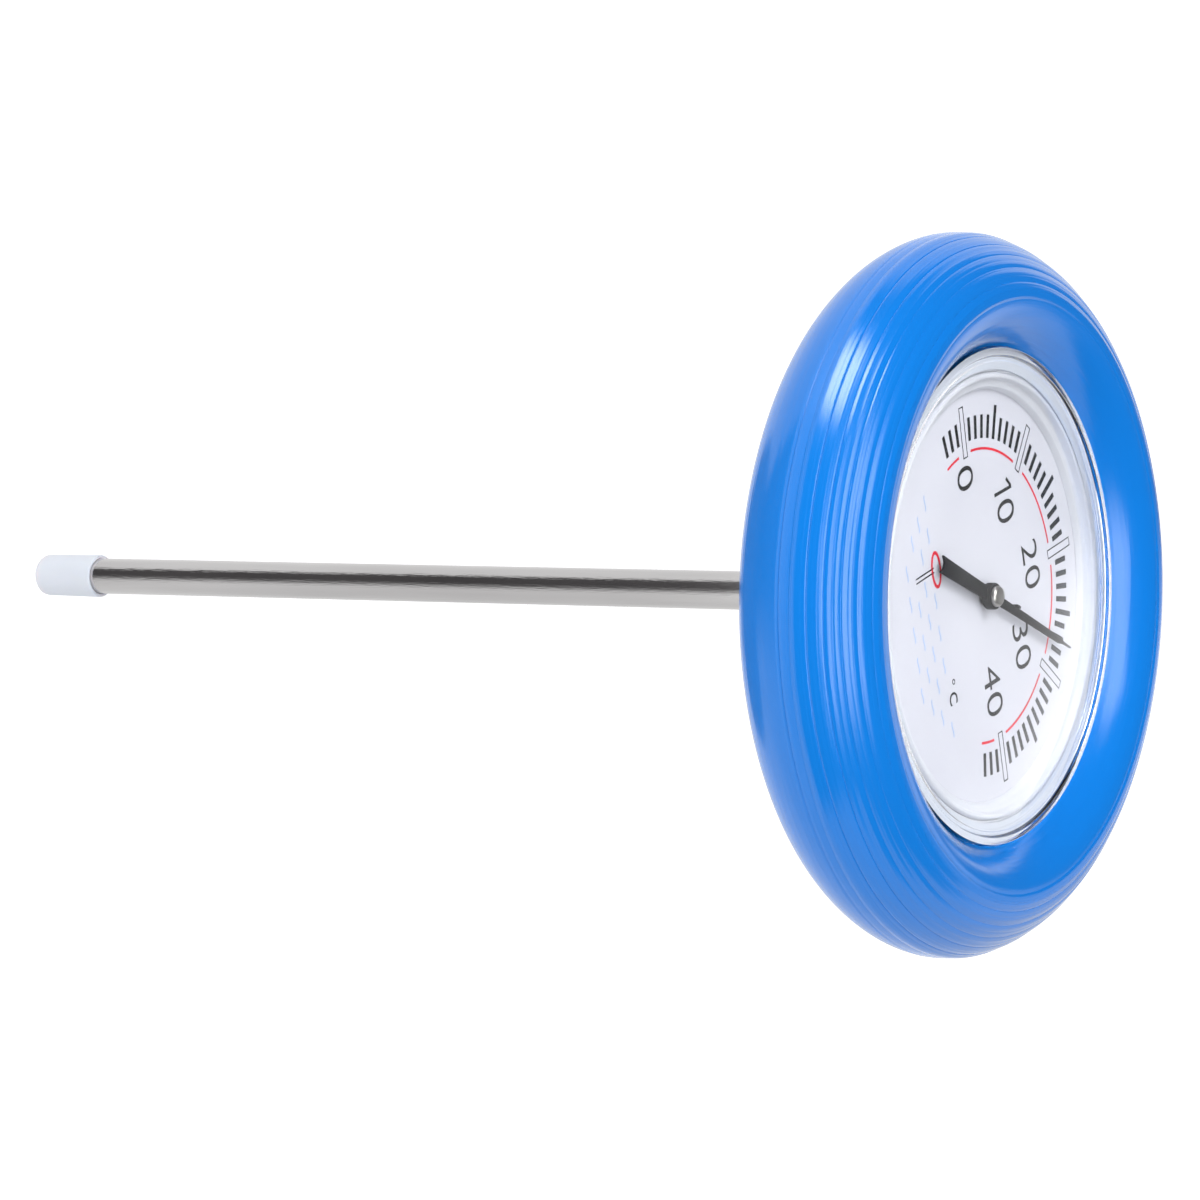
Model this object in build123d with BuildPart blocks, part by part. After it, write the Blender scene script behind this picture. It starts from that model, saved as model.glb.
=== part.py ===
from build123d import *
import math
import os

# Floating pool thermometer: a ribbed float ring round a dial housing, with a
# stainless stem that reaches down into the water.
# Z = 0 is the waterline on the axis of the dial, +Z is up out of the water,
# and +Y is the dial's "12 o'clock", where the scale reads 20 degrees.
# Lengths are in millimetres and angles in degrees.

# ---------------------------------------------------------------- float ring
MID = 1.5  # float's mid-plane above the waterline, where the part floats at its own mass
FLOAT_R = 76.0  # outer radius of the float
TUBE_A = 14.0  # half width of the float's section
TUBE_B = 15.7  # half height of the float's section
TUBE_R = FLOAT_R - TUBE_A  # radius of the section's centre
ROUNDNESS = 0.46  # Bezier handle of a quarter of the section
WALL = 1.8
RIB_COUNT = 6
RIB_START = 0.1  # fraction of the outer upper quarter that stays smooth
RIB_HEIGHT = 0.3
BORE_R = 49.0  # hole through the float for the dial housing
SEAT_R = 52.2  # recess in the float for the lens
SEAT_FLOOR = MID + 5.4
SEAT_TOP = MID + 8.9
CREST_HANDLE = 5.2  # Bezier handle of the inner slope at the crest
SEAT_HANDLE_R = 1.3  # Bezier handle of the inner slope at the seat, outward
SEAT_HANDLE_H = 3.4  # the same handle, upward
TONGUE_T = 0.9
TONGUE_H = 1.6
TONGUE_GAP = 0.1
WELD_DEPTH = 4.8  # depth of the lower shell's bore strip at the bore
WELD_TAPER = 3.0  # how much deeper it is at the section's wall

# -------------------------------------------------------------- dial housing
CUP_R = 48.9
CUP_WALL = 2.0
FLANGE_R = 51.9
FLANGE_T = 1.0
FLANGE_TOP = SEAT_FLOOR + FLANGE_T
FLOOR_TOP = MID - 8.0
FLOOR_T = 2.0
FLOOR_BOTTOM = FLOOR_TOP - FLOOR_T
BOSS_R = 9.5
BOSS_BOTTOM = MID - 16.0
BRACE_COUNT = 6
BRACE_DEPTH = 4.0
BRACE_T = 2.0
CUP_FILLET = 1.2
SLEEVE_GAP = 0.1
DIAL_Z = MID + 4.2  # printed face of the dial
DIAL_T = 0.8
DIAL_R = 46.6
DIAL_HOLE_R = 1.6
SHELF_R = 44.6
BEAD_R = 49.6
BEAD_TOP = MID - 6.0
BEAD_LEAD = 0.4  # drop from the bead's catch to its widest point
BEAD_H = 2.0
RING_R = 46.8  # outside of the retaining ring
RING_TOP_R = 46.3
RING_TOP_INNER_R = 45.6
RING_STEP_R = 45.2
RING_LIP_R = 43.8
RING_INNER_R = 43.2
RING_SHOULDER = MID + 6.6
RING_TOP = MID + 7.3
RING_STEP = MID + 6.0
RING_LIP = MID + 5.7

# ---------------------------------------------------------------------- lens
GASKET_T = 0.5
GASKET_INSET = 0.4
LENS_BOTTOM = FLANGE_TOP + GASKET_T
LENS_RIM_TOP = MID + 9.7
LENS_RIM_W = 1.6
LENS_RIM_FILLET = 0.35
LENS_DRAFT = 0.4  # sideways lean of the dome's edges
LENS_RIM_DRAFT = 0.3
LENS_GROOVE_R = 49.3
LENS_GROOVE_Z = MID + 8.9
WINDOW_EDGE_Z = MID + 9.4
WINDOW_TOP_Z = MID + 10.9
WINDOW_T = 2.0
WINDOW_INNER_R = 46.9

# ------------------------------------------------------------------- pointer
READING = 27.5  # temperature shown at rest
PITCH = 4.5  # degrees of pointer travel for one degree Celsius
POINTER_ANGLE = 90.0 - (READING - 20.0) * PITCH
BLADE_Z = MID + 5.9
BLADE_T = 0.5
TAIL_HALF = 1.85  # half widths of the pointer from its tail to its tip
WAIST_HALF = 1.4
NECK_HALF = 1.0
SHOULDER_HALF = 0.7
TAPER_HALF = 0.26
TIP_HALF = 0.14
WAIST_AT = 1.5  # distance of the waist and the neck from the axis
SHOULDER_BACK = 6.0  # distance back from the tip
TAPER_BACK = 3.6
CRESCENT_R = 1.65
CRESCENT_OUT = 0.6  # centre of the crescent beyond the tail's end
TAB_AT = (10.8, 1.0)
TAB_L = 1.5
TAB_W = 0.5
TAB_H = 0.6
HUB_FILLET = 0.3
HUB_R = 2.8
HUB_BOTTOM = MID + 5.2
HUB_TOP = MID + 7.1
NEEDLE_R = 38.5
TAIL_R = 22.8
SHAFT_R = 0.75
SHAFT_TOP = MID + 7.3
RIVET_TOP = MID + 8.1
RIVET_R = 2.2
RIVET_CHAMFER = 0.35
RIVET_SLEEVE_R = SHAFT_R + 0.6
RUNNING = 0.05  # radial clearance of the shaft in its guides

# ---------------------------------------------------------------------- stem
STEM_R = 4.2
STEM_BORE_R = 3.7
STEM_BOTTOM = MID - 245.8
SLEEVE_R = 6.0
SLEEVE_TOP = MID - 2.0
SEAL_T = 1.0
SEAL_INSET = 0.4
COLLAR_TOP = BOSS_BOTTOM - SEAL_T
COLLAR_T = 3.0
COLLAR_BORE_R = 3.0
COLLAR_FOOT_CHAMFER = 1.0
SLEEVE_CHAMFER = 0.5
NECK_BOTTOM = MID - 26.0
STEM_TOP = MID - 10.0
WASHER_T = 1.0
WASHER_RIM = 2.5  # how far the washer reaches past the nut's flats
NUT_H = 4.0
NUT_AF = 17.0
CAP_R = 5.0
CAP_L = 17.4
CAP_FLOOR_T = 2.0
CAP_BOTTOM = STEM_BOTTOM - CAP_FLOOR_T
CAP_TOP = CAP_BOTTOM + CAP_L
CAP_NOSE = 1.8
CAP_MOUTH_CHAMFER = 0.15
BUSH_L = 5.0
BUSH_HEAD_R = 4.5
BUSH_HEAD_T = 0.8

# -------------------------------------------------------------- bimetal coil
COIL_R = 2.5
COIL_STRIP_W = 2.4
COIL_STRIP_T = 0.35
COIL_PITCH = 3.0
COIL_TURNS = 12
COIL_GAP = 0.02  # strip to the anchor's lug and floor
ANCHOR_T = 3.7
SPIGOT_R = 1.4
SPIGOT_H = 2.5
LUG_T = 0.6
LUG_W = 2.0
ANCHOR_TOP = STEM_BOTTOM + ANCHOR_T
COIL_START = ANCHOR_TOP + COIL_STRIP_W / 2 + COIL_GAP
COIL_END = COIL_START + COIL_PITCH * COIL_TURNS
COUPLING_GAP = 0.05
COUPLING_BOTTOM = COIL_END + COIL_STRIP_W / 2 + COUPLING_GAP
COUPLING_T = 4.0
COUPLING_RIM = 0.4  # how far the coupling reaches past the coil's centre line
COUPLING_CHAMFER = 0.5
COUPLING_WEB = 0.5  # floor left under the shaft
GUIDE_T = 4.0
GUIDE_WAIST = 0.8  # radius of the groove round a guide
GUIDE_WAIST_OUT = 0.2
GUIDE_LIFT = 5.0  # lower guide above the coupling
LOWER_GUIDE_Z = COUPLING_BOTTOM + COUPLING_T + GUIDE_LIFT
MIDDLE_GUIDE_Z = MID - 110.0


# ------------------------------------------------------------------- helpers
def disc(bottom, top, radius, mode=Mode.ADD):
    """Add or cut a coaxial cylinder between two heights."""
    with Locations((0, 0, bottom)):
        Cylinder(radius, top - bottom, align=(Align.CENTER, Align.CENTER, Align.MIN), mode=mode)


def quarter(side, level, a=TUBE_A, b=TUBE_B):
    """A quarter of the float's section, from its equator to its crest (level 1) or keel (-1)."""
    return Bezier(
        (TUBE_R + side * a, MID),
        (TUBE_R + side * a, MID + level * ROUNDNESS * b),
        (TUBE_R + side * ROUNDNESS * a, MID + level * b),
        (TUBE_R, MID + level * b),
    )


def ribbed_points(smooth):
    """Points on the outer upper quarter: a smooth lead-in, then rounded ridges up to the crest."""
    step = (1 - RIB_START) / RIB_COUNT
    grooves = [smooth @ (RIB_START + step * i) for i in range(RIB_COUNT + 1)]
    ridges = []
    for i in range(RIB_COUNT):
        middle = RIB_START + step * (i + 0.5)
        along = smooth % middle
        ridges.append(smooth @ middle + Vector(along.Y, -along.X) * RIB_HEIGHT)
    return smooth @ 0, smooth @ (RIB_START / 2), grooves, ridges


def finish(builder, name):
    """Label a finished piece and write its STEP file."""
    builder.part.label = name
    export_step(builder.part, f"parts/{name}.step")


os.makedirs("parts", exist_ok=True)

# ---------------------------------------------------------------- float ring
start, lead_in, grooves, ridges = ribbed_points(quarter(1, 1))
crest = grooves[-1]

# Upper half: ridges outside, smooth slope and lens recess inside, hollow within.
with BuildPart() as float_upper_shell:
    with BuildSketch(Plane.XZ):
        with BuildLine():
            ThreePointArc(start, lead_in, grooves[0])
            for i, ridge in enumerate(ridges):
                ThreePointArc(grooves[i], ridge, grooves[i + 1])
            shoulder = (SEAT_R + SEAT_HANDLE_R, SEAT_TOP + SEAT_HANDLE_H)
            Bezier(crest, (TUBE_R - CREST_HANDLE, crest.Y), shoulder, (SEAT_R, SEAT_TOP))
            Polyline((SEAT_R, SEAT_TOP), (SEAT_R, SEAT_FLOOR), (BORE_R, SEAT_FLOOR), (BORE_R, MID), start)
        make_face()
        with BuildLine():
            void_out = quarter(1, 1, TUBE_A - WALL, TUBE_B - WALL)
            Line(void_out @ 0, (BORE_R + WALL, MID))
            under_seat = SEAT_FLOOR - WALL
            Polyline((BORE_R + WALL, MID), (BORE_R + WALL, under_seat), (SEAT_R + WALL, under_seat))
            Bezier(
                (SEAT_R + WALL, under_seat),
                (SEAT_R + WALL, SEAT_TOP),
                (TUBE_R - CREST_HANDLE, MID + TUBE_B - WALL),
                void_out @ 1,
            )
        make_face(mode=Mode.SUBTRACT)
        with Locations((FLOAT_R - WALL, MID)):
            Rectangle(TONGUE_T, TONGUE_H, align=Align.MIN, mode=Mode.SUBTRACT)
    revolve(axis=Axis.Z)
finish(float_upper_shell, "float_upper_shell")

# Lower half: smooth all over, with a tongue that locates the upper half.
with BuildPart() as float_lower_shell:
    with BuildSketch(Plane.XZ):
        with BuildLine():
            Line(quarter(1, -1) @ 0, quarter(-1, -1) @ 0)
        make_face()
        with BuildLine():
            void_out = quarter(1, -1, TUBE_A - WALL, TUBE_B - WALL)
            void_in = quarter(-1, -1, TUBE_A - WALL, TUBE_B - WALL)
            Line(void_out @ 0, void_in @ 0)
        make_face(mode=Mode.SUBTRACT)
        with BuildLine():
            wall_r = BORE_R + WALL
            weld_z = MID - WELD_DEPTH
            strip = [(BORE_R, MID), (wall_r, MID), (wall_r, weld_z - WELD_TAPER), (BORE_R, weld_z)]
            Polyline(*strip, close=True)
        make_face()
        with Locations((FLOAT_R - WALL, MID)):
            Rectangle(TONGUE_T, TONGUE_H - TONGUE_GAP, align=Align.MIN)
    revolve(axis=Axis.Z)
    disc(MID - TUBE_B, MID + TONGUE_H, BORE_R, mode=Mode.SUBTRACT)
finish(float_lower_shell, "float_lower_shell")

# -------------------------------------------------------------- dial housing
# A white cup with a flange under the lens, a shelf for the dial and a boss for the stem.
with BuildPart() as dial_housing:
    disc(FLOOR_BOTTOM, FLANGE_TOP, CUP_R)
    disc(SEAT_FLOOR, FLANGE_TOP, FLANGE_R)
    with BuildSketch(Plane.XZ):
        with BuildLine():
            root_r = CUP_R - CUP_WALL / 2
            bead = [(root_r, BEAD_TOP), (BEAD_R, BEAD_TOP - BEAD_LEAD), (root_r, BEAD_TOP - BEAD_H)]
            Polyline(*bead, close=True)
        make_face()
    revolve(axis=Axis.Z)
    disc(FLOOR_TOP, DIAL_Z - DIAL_T, SHELF_R, mode=Mode.SUBTRACT)
    disc(DIAL_Z - DIAL_T, FLANGE_TOP, CUP_R - CUP_WALL, mode=Mode.SUBTRACT)
    rim = dial_housing.edges().filter_by(GeomType.CIRCLE).group_by(Axis.Z)[0].sort_by(SortBy.RADIUS)[-1]
    fillet(rim, CUP_FILLET)
    disc(BOSS_BOTTOM, FLOOR_BOTTOM, BOSS_R)
    with BuildSketch(Plane.XY.offset(FLOOR_BOTTOM)):
        brace_end = CUP_R - 2 * CUP_WALL
        with PolarLocations((brace_end + BOSS_R) / 2, BRACE_COUNT):
            Rectangle(brace_end - BOSS_R + BRACE_T, BRACE_T)
    extrude(amount=-BRACE_DEPTH)
    disc(BOSS_BOTTOM, FLOOR_TOP, SLEEVE_R + SLEEVE_GAP, mode=Mode.SUBTRACT)
finish(dial_housing, "dial_housing")

# Printed dial: a thin white disc resting on the housing's shelf.
with BuildPart() as dial_plate:
    disc(DIAL_Z - DIAL_T, DIAL_Z, DIAL_R)
    disc(DIAL_Z - DIAL_T, DIAL_Z, DIAL_HOLE_R, mode=Mode.SUBTRACT)
finish(dial_plate, "dial_plate")

# Stepped white ring that holds the dial down and closes the gap under the lens.
with BuildPart() as dial_retaining_ring:
    with BuildSketch(Plane.XZ):
        with BuildLine():
            Polyline(
                (RING_INNER_R, DIAL_Z), (RING_R, DIAL_Z), (RING_R, RING_SHOULDER), (RING_TOP_R, RING_TOP),
                (RING_TOP_INNER_R, RING_TOP), (RING_STEP_R, RING_STEP), (RING_LIP_R, RING_LIP), close=True,
            )
        make_face()
    revolve(axis=Axis.Z)
finish(dial_retaining_ring, "dial_retaining_ring")

# Flat white silicone ring between the housing's flange and the lens.
with BuildPart() as lens_gasket:
    disc(FLANGE_TOP, LENS_BOTTOM, FLANGE_R - GASKET_INSET)
    disc(FLANGE_TOP, LENS_BOTTOM, WINDOW_INNER_R + GASKET_INSET, mode=Mode.SUBTRACT)
finish(lens_gasket, "lens_gasket")

# ---------------------------------------------------------------------- lens
# Clear moulded lens: shallow dome, a groove round it and a raised rim.
with BuildPart() as lens:
    with BuildSketch(Plane.XZ):
        rim_inner_r = FLANGE_R - LENS_RIM_W
        with BuildLine():
            TangentArc((0, WINDOW_TOP_Z), (LENS_GROOVE_R - LENS_DRAFT, WINDOW_EDGE_Z), tangent=(1, 0))
            Polyline(
                (LENS_GROOVE_R - LENS_DRAFT, WINDOW_EDGE_Z), (LENS_GROOVE_R, LENS_GROOVE_Z),
                (rim_inner_r - LENS_RIM_DRAFT, LENS_GROOVE_Z), (rim_inner_r, LENS_RIM_TOP),
                (FLANGE_R, LENS_RIM_TOP), (FLANGE_R, LENS_BOTTOM), (WINDOW_INNER_R, LENS_BOTTOM),
                (WINDOW_INNER_R - LENS_DRAFT, WINDOW_EDGE_Z - WINDOW_T),
            )
            TangentArc(
                (0, WINDOW_TOP_Z - WINDOW_T),
                (WINDOW_INNER_R - LENS_DRAFT, WINDOW_EDGE_Z - WINDOW_T),
                tangent=(1, 0),
            )
            Line((0, WINDOW_TOP_Z - WINDOW_T), (0, WINDOW_TOP_Z))
        make_face()
    revolve(axis=Axis.Z)
    fillet(lens.edges().filter_by_position(Axis.Z, LENS_RIM_TOP - 0.01, LENS_RIM_TOP + 0.01), LENS_RIM_FILLET)
finish(lens, "lens")

# ------------------------------------------------------------------- pointer
# Black pointer: broad tail with a crescent end, raised hub, needle drawn to a fine tip.
pointer_x = (math.cos(math.radians(POINTER_ANGLE)), math.sin(math.radians(POINTER_ANGLE)), 0)
with BuildPart() as pointer:
    with BuildSketch(Plane(origin=(0, 0, BLADE_Z), x_dir=pointer_x, z_dir=(0, 0, 1))):
        with BuildLine():
            tail = [(-TAIL_R, TAIL_HALF), (-WAIST_AT, WAIST_HALF)]
            taper = [(NEEDLE_R - SHOULDER_BACK, SHOULDER_HALF), (NEEDLE_R - TAPER_BACK, TAPER_HALF)]
            half = tail + [(WAIST_AT, NECK_HALF)] + taper + [(NEEDLE_R, TIP_HALF)]
            Polyline(*half, *[(x, -y) for x, y in reversed(half)], close=True)
        make_face()
        with Locations((-TAIL_R - CRESCENT_OUT, 0)):
            Circle(CRESCENT_R, mode=Mode.SUBTRACT)
    extrude(amount=BLADE_T)
    disc(HUB_BOTTOM, HUB_TOP, HUB_R)
    fillet(pointer.faces().sort_by(Axis.Z)[-1].edges(), HUB_FILLET)
    with BuildSketch(Plane(origin=(0, 0, BLADE_Z), x_dir=pointer_x, z_dir=(0, 0, 1))):
        with Locations(TAB_AT):
            Rectangle(TAB_L, TAB_W)
    extrude(amount=BLADE_T + TAB_H)
    disc(HUB_BOTTOM, HUB_TOP, RIVET_SLEEVE_R, mode=Mode.SUBTRACT)
finish(pointer, "pointer")

# Turned metal hub that is pressed on the shaft and holds the pointer.
with BuildPart() as pointer_hub:
    disc(HUB_BOTTOM, HUB_TOP, RIVET_SLEEVE_R)
    disc(HUB_TOP, RIVET_TOP, RIVET_R)
    chamfer(pointer_hub.faces().sort_by(Axis.Z)[-1].edges(), RIVET_CHAMFER)
    disc(HUB_BOTTOM, SHAFT_TOP, SHAFT_R, mode=Mode.SUBTRACT)
finish(pointer_hub, "pointer_hub")

# Long steel wire that carries the coil's turning up to the pointer.
with BuildPart() as pointer_shaft:
    disc(COUPLING_BOTTOM + COUPLING_WEB, SHAFT_TOP, SHAFT_R)
finish(pointer_shaft, "pointer_shaft")

# ---------------------------------------------------------------------- stem
# Stainless tube, open at the top inside the collar.
with BuildPart() as stem_tube:
    disc(STEM_BOTTOM, STEM_TOP, STEM_R)
    disc(STEM_BOTTOM, STEM_TOP, STEM_BORE_R, mode=Mode.SUBTRACT)
finish(stem_tube, "stem_tube")

# Collar with a flange under the housing's boss and a threaded sleeve up through it.
with BuildPart() as stem_collar:
    disc(NECK_BOTTOM, COLLAR_TOP, SLEEVE_R)
    chamfer(stem_collar.faces().sort_by(Axis.Z)[0].edges(), COLLAR_FOOT_CHAMFER)
    disc(COLLAR_TOP - COLLAR_T, COLLAR_TOP, BOSS_R)
    disc(COLLAR_TOP, SLEEVE_TOP, SLEEVE_R)
    chamfer(stem_collar.faces().sort_by(Axis.Z)[-1].edges(), SLEEVE_CHAMFER)
    disc(NECK_BOTTOM, STEM_TOP, STEM_R, mode=Mode.SUBTRACT)
    disc(STEM_TOP, SLEEVE_TOP, COLLAR_BORE_R, mode=Mode.SUBTRACT)
finish(stem_collar, "stem_collar")

# Rubber seal squeezed between the collar and the boss.
with BuildPart() as stem_seal:
    disc(COLLAR_TOP, BOSS_BOTTOM, BOSS_R - SEAL_INSET)
    disc(COLLAR_TOP, BOSS_BOTTOM, SLEEVE_R, mode=Mode.SUBTRACT)
finish(stem_seal, "stem_seal")

# Washer and hexagon nut that clamp the collar from inside the housing.
with BuildPart() as stem_washer:
    disc(FLOOR_TOP, FLOOR_TOP + WASHER_T, NUT_AF / 2 + WASHER_RIM)
    disc(FLOOR_TOP, FLOOR_TOP + WASHER_T, SLEEVE_R, mode=Mode.SUBTRACT)
finish(stem_washer, "stem_washer")

with BuildPart() as stem_nut:
    with BuildSketch(Plane.XY.offset(FLOOR_TOP + WASHER_T)):
        RegularPolygon(NUT_AF / 2, 6, major_radius=False)
        Circle(SLEEVE_R, mode=Mode.SUBTRACT)
    extrude(amount=NUT_H)
finish(stem_nut, "stem_nut")

# White cap pushed over the lower end of the tube.
with BuildPart() as end_cap:
    disc(CAP_BOTTOM, CAP_TOP, CAP_R)
    fillet(end_cap.faces().sort_by(Axis.Z)[0].edges(), CAP_NOSE)
    chamfer(end_cap.faces().sort_by(Axis.Z)[-1].edges(), CAP_MOUTH_CHAMFER)
    disc(STEM_BOTTOM, CAP_TOP, STEM_R, mode=Mode.SUBTRACT)
finish(end_cap, "end_cap")

# ------------------------------------------------------------ shaft bearings
# Brass bush in the top of the collar's sleeve.
with BuildPart() as upper_bush:
    bush_top = SLEEVE_TOP + BUSH_HEAD_T
    disc(SLEEVE_TOP - BUSH_L, SLEEVE_TOP, COLLAR_BORE_R)
    disc(SLEEVE_TOP, bush_top, BUSH_HEAD_R)
    disc(SLEEVE_TOP - BUSH_L, bush_top, SHAFT_R + RUNNING, mode=Mode.SUBTRACT)
finish(upper_bush, "upper_bush")


def tube_guide(bottom):
    """A plastic guide that centres the shaft in the tube, waisted to slip in easily."""
    disc(bottom, bottom + GUIDE_T, STEM_BORE_R)
    with Locations((0, 0, bottom + GUIDE_T / 2)):
        Torus(STEM_BORE_R + GUIDE_WAIST_OUT, GUIDE_WAIST, mode=Mode.SUBTRACT)
    disc(bottom, bottom + GUIDE_T, SHAFT_R + RUNNING, mode=Mode.SUBTRACT)


with BuildPart() as middle_guide:
    tube_guide(MIDDLE_GUIDE_Z)
finish(middle_guide, "middle_guide")

with BuildPart() as lower_guide:
    tube_guide(LOWER_GUIDE_Z)
finish(lower_guide, "lower_guide")

# -------------------------------------------------------------- bimetal coil
# Bimetal strip wound as a long helix: warmth makes it turn its upper end.
with BuildPart() as bimetal_coil:
    with BuildLine(Plane.XY.offset(COIL_START)) as coil_path:
        Helix(COIL_PITCH, COIL_PITCH * COIL_TURNS, COIL_R)
    with BuildSketch(Plane(origin=coil_path.line @ 0, x_dir=(1, 0, 0), z_dir=coil_path.line % 0)):
        Rectangle(COIL_STRIP_T, COIL_STRIP_W)
    sweep(is_frenet=True)
finish(bimetal_coil, "bimetal_coil")

# Plug fixed in the bottom of the tube, with a lug that holds the coil's lower end.
with BuildPart() as coil_anchor:
    disc(STEM_BOTTOM, ANCHOR_TOP, STEM_BORE_R)
    disc(ANCHOR_TOP, ANCHOR_TOP + SPIGOT_H, SPIGOT_R)
    with BuildSketch(Plane.XY.offset(ANCHOR_TOP)):
        with Locations((COIL_R + COIL_STRIP_T / 2 + COIL_GAP, 0)):
            Rectangle(LUG_T, LUG_W, align=(Align.MIN, Align.CENTER))
    extrude(amount=COIL_STRIP_W)
finish(coil_anchor, "coil_anchor")

# Coupling on the shaft that the coil's upper end turns.
with BuildPart() as coil_coupling:
    disc(COUPLING_BOTTOM, COUPLING_BOTTOM + COUPLING_T, COIL_R + COUPLING_RIM)
    chamfer(coil_coupling.faces().sort_by(Axis.Z)[-1].edges(), COUPLING_CHAMFER)
    disc(COUPLING_BOTTOM + COUPLING_WEB, COUPLING_BOTTOM + COUPLING_T, SHAFT_R, mode=Mode.SUBTRACT)
finish(coil_coupling, "coil_coupling")
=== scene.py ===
import bmesh
import bpy
import math
from mathutils import Matrix, Vector


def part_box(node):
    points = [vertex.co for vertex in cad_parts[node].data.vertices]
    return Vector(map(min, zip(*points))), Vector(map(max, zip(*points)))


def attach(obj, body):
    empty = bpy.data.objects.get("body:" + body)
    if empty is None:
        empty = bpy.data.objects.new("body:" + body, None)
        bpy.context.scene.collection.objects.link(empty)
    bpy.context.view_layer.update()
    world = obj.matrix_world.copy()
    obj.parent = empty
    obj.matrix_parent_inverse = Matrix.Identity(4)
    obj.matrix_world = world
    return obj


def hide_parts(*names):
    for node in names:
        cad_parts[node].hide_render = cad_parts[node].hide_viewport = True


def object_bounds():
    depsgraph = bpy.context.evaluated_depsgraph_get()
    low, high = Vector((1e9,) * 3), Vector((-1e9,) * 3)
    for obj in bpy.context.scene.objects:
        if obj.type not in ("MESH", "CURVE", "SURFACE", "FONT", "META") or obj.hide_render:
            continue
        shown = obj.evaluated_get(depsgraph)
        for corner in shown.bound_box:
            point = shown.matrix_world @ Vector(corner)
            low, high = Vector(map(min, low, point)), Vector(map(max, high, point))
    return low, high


# Floating pool thermometer: the looks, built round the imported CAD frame.
# Lengths are in metres in the row frame: Z up out of the water, +Y the dial's 12 o'clock.
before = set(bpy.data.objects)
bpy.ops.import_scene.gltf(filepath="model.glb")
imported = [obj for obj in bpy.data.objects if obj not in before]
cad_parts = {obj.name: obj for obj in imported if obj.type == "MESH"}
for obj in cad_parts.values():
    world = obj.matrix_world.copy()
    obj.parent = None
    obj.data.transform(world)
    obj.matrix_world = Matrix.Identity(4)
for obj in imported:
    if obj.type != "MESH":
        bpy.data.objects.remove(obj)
CAD_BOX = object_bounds()

MM = 0.001
ROOT, MOVING = "float_body", "pointer_body"


def corner(node, high, axis):
    """One coordinate of a CAD node's box."""
    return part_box(node)[1 if high else 0][axis]


# ------------------------------------------------------------ sizes, from the frame
MID = corner("float_upper_shell", False, 2)
FLOAT_R = corner("float_lower_shell", True, 0)
TUBE_B = MID - corner("float_lower_shell", False, 2)
DIAL_Z = corner("dial_plate", True, 2)
FLANGE_R = corner("lens", True, 0)
LENS_BOTTOM = corner("lens", False, 2)
LENS_TOP = corner("lens", True, 2)
STEM_R = corner("stem_tube", True, 0)
STEM_BOTTOM, STEM_TOP = corner("stem_tube", False, 2), corner("stem_tube", True, 2)
CAP_R = corner("end_cap", True, 0)
CAP_BOTTOM, CAP_TOP = corner("end_cap", False, 2), corner("end_cap", True, 2)
HUB_TOP = corner("pointer", True, 2)
RIVET_TOP = corner("pointer_hub", True, 2)

# sizes of the design that a box can't give
TUBE_A = 14.0 * MM  # half width of the float's section
TUBE_R = FLOAT_R - TUBE_A
ROUNDNESS = 0.46  # handle of a quarter of the section, as a fraction of its side
RIB_COUNT = 6
RIB_START = 0.1  # fraction of the outer upper quarter that stays smooth
RIB_HEIGHT = 0.245 * MM
RIB_POWER = 2.4  # roundness of a ridge
QUARTER_MM = 24.5  # length of the outer upper quarter
BORE_R = 49.0 * MM
SEAT_R = 52.2 * MM
SEAT_FLOOR = MID + 5.4 * MM
SEAT_TOP = MID + 8.9 * MM
CREST_HANDLE = 4.3 * MM  # the inner slope's handle at the crest
SEAT_HANDLE = 2.0 * MM, 3.0 * MM  # and at the lens seat: outward, upward
LIP_ROUND = 0.5 * MM
SEAM = 0.12 * MM  # depth of the groove at the weld
TUBE_WALL = 0.5 * MM

READING = 27.5  # degrees C under the pointer at rest
PITCH = 4.5  # degrees of turn for each degree C


# ------------------------------------------------------------------------ materials
ROUND_DRIFT = 0.04  # how slowly a turned grain changes round the axis
CLOUD_STOPS = 0.35, 0.65
GRAIN_DEPTH = 0.0004


def around_axis(nodes, links, position):
    """Coordinates that run fast across the radius and the height, and slowly round the axis."""
    flat = nodes.new("ShaderNodeVectorMath")
    flat.operation = "MULTIPLY"
    flat.inputs[1].default_value = (1, 1, 0)
    links.new(position, flat.inputs[0])
    radius = nodes.new("ShaderNodeVectorMath")
    radius.operation = "LENGTH"
    links.new(flat.outputs["Vector"], radius.inputs[0])
    split = nodes.new("ShaderNodeSeparateXYZ")
    links.new(position, split.inputs["Vector"])
    slow = [nodes.new("ShaderNodeMath") for _ in range(2)]
    for node, axis in zip(slow, "XY"):
        node.operation = "MULTIPLY"
        node.inputs[1].default_value = ROUND_DRIFT
        links.new(split.outputs[axis], node.inputs[0])
    drift = nodes.new("ShaderNodeMath")
    drift.operation = "ADD"
    links.new(slow[0].outputs["Value"], drift.inputs[0])
    links.new(slow[1].outputs["Value"], drift.inputs[1])
    joined = nodes.new("ShaderNodeCombineXYZ")
    links.new(radius.outputs["Value"], joined.inputs["X"])
    links.new(drift.outputs["Value"], joined.inputs["Y"])
    links.new(split.outputs["Z"], joined.inputs["Z"])
    return joined.outputs["Vector"]


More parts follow.
